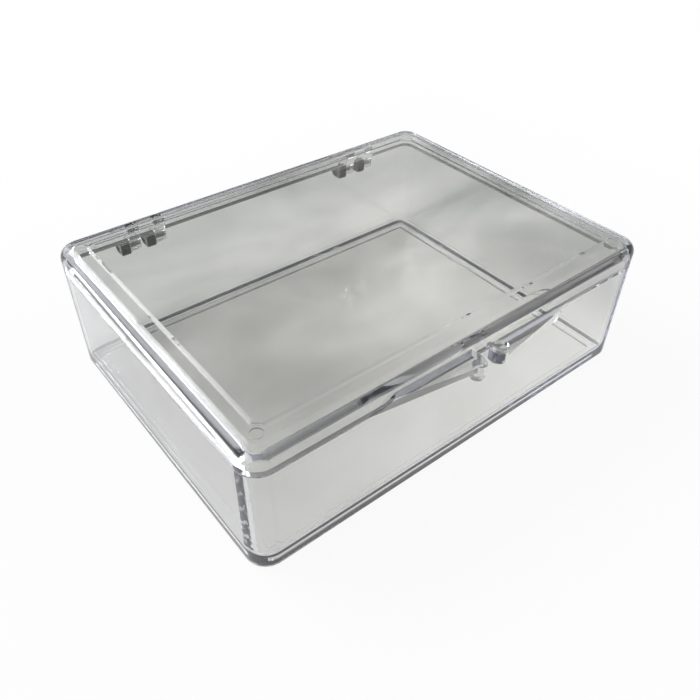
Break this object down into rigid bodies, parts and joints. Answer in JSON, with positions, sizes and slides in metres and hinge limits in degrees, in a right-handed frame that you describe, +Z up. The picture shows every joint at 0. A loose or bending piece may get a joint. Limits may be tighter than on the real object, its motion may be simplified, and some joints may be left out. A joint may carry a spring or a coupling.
{
  "type": "trading card display case",
  "caption": "Clear hinged card box: a deep tray and a shallow flush lid on snap hinges, opened by a pair of thumb tabs at the front.",
  "frame": {"origin": "under the middle of the case, on the plane that the foot ring stands on", "axes": "+X along the long side, -Y out of the front with the thumb tabs, +Y out of the rear with the hinges, +Z up"},
  "size_m": [0.0984, 0.082, 0.0301],
  "materials": {
    "tray_plastic": "clear polished polystyrene",
    "lid_plastic": "clear polished polystyrene"
  },
  "bodies": {
    "tray": {"base_tray": "tray_plastic"},
    "lid": {"hinged_lid": "lid_plastic"}
  },
  "joints": [
    {"name": "lid_hinge", "type": "hinge", "parent": "tray", "child": "lid", "pos_m": [0, 0.0392, 0.0222], "axis": [-1, 0, 0], "range_deg": [0, 115]}
  ]
}
